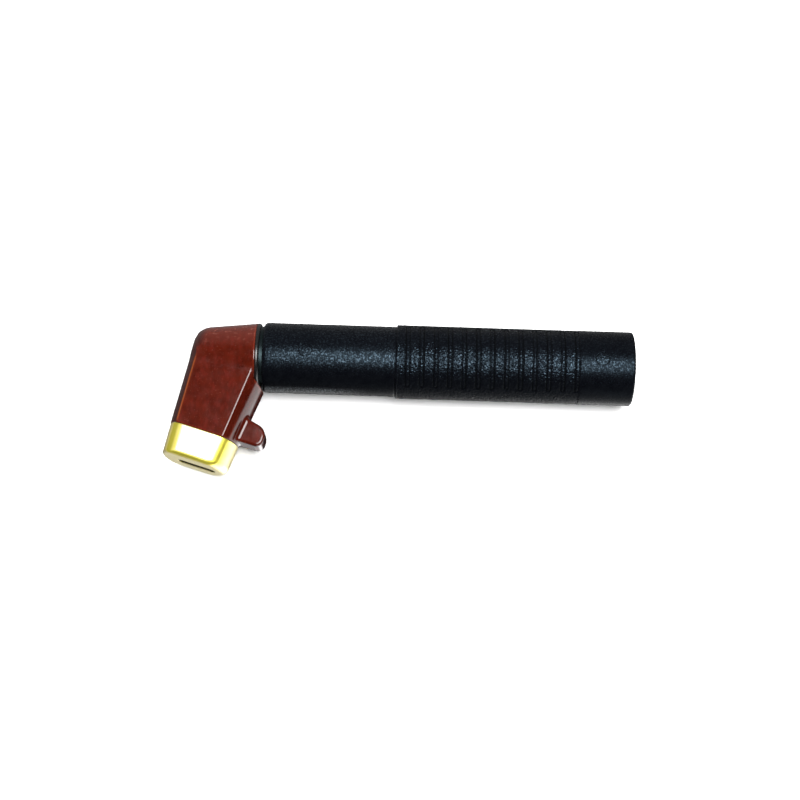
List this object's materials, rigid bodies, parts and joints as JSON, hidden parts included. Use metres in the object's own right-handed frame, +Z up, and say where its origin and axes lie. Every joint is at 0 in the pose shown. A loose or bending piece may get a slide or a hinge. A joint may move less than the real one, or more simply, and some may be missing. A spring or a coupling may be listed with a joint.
{
  "type": "electrode holder",
  "caption": "Twist-type stick electrode holder with an angled head: turning the handle drives a pivoted clamp that grips the rod in a brass nose.",
  "frame": {"origin": "cable entry: on the handle axis, in the plane of the handle's rear face", "axes": "+X along the handle axis, out of the handle towards the cable; the head points towards -Y; +Z up, with the holder lying on its side on its grip and its nose"},
  "size_m": [0.2307, 0.0787, 0.037],
  "materials": {
    "cast_brass": "polished casting",
    "turned_brass": "turned",
    "red_moulding": "glossy compression moulding, dark red-brown",
    "black_moulding": "fine grained black",
    "black_fibre": "matt",
    "plated_steel": "dull grey plating",
    "dark_steel": "blackened",
    "bright_steel": "ground",
    "spring_steel": "drawn wire",
    "seal_rubber": "matt"
  },
  "bodies": {
    "head": {"head_casting": "cast_brass", "head_insulator": "red_moulding", "collar_ring": "black_moulding", "threaded_sleeve": "plated_steel", "sleeve_lock_screw": "dark_steel", "pivot_pin": "bright_steel", "return_spring": "spring_steel", "spring_plug": "turned_brass", "flange_seal": "seal_rubber"},
    "lever": {"clamp_lever": "cast_brass"},
    "thrust": {"thrust_ball": "bright_steel", "thrust_pin": "bright_steel"},
    "handle": {"handle_shell": "black_moulding", "cable_connector": "turned_brass", "cable_set_screws": "dark_steel", "handle_screws": "dark_steel", "handle_screw_plugs": "black_moulding", "cable_bush": "black_fibre", "bush_screws": "dark_steel", "bush_screw_plugs": "black_moulding"}
  },
  "joints": [
    {"name": "handle_advance", "type": "slide", "parent": "head", "child": "thrust", "axis": [-1, 0, 0], "range_m": [0, 0.0012]},
    {"name": "handle_twist", "type": "hinge", "parent": "thrust", "child": "handle", "pos_m": [-0.12, 0, 0], "axis": [-1, 0, 0], "range_deg": [0, 144]},
    {"name": "lever_pivot", "type": "hinge", "parent": "head", "child": "lever", "pos_m": [-0.20231, -0.01196, -0.0009], "axis": [0, -0.0751, 0.9972], "range_deg": [0, 5.73], "deforming": ["return_spring"]}
  ],
  "couplings": [
    {"joint": "handle_twist", "follows": "handle_advance", "rad_per_m": 2094.4},
    {"joint": "lever_pivot", "follows": "handle_advance", "rad_per_m": 83.33}
  ]
}
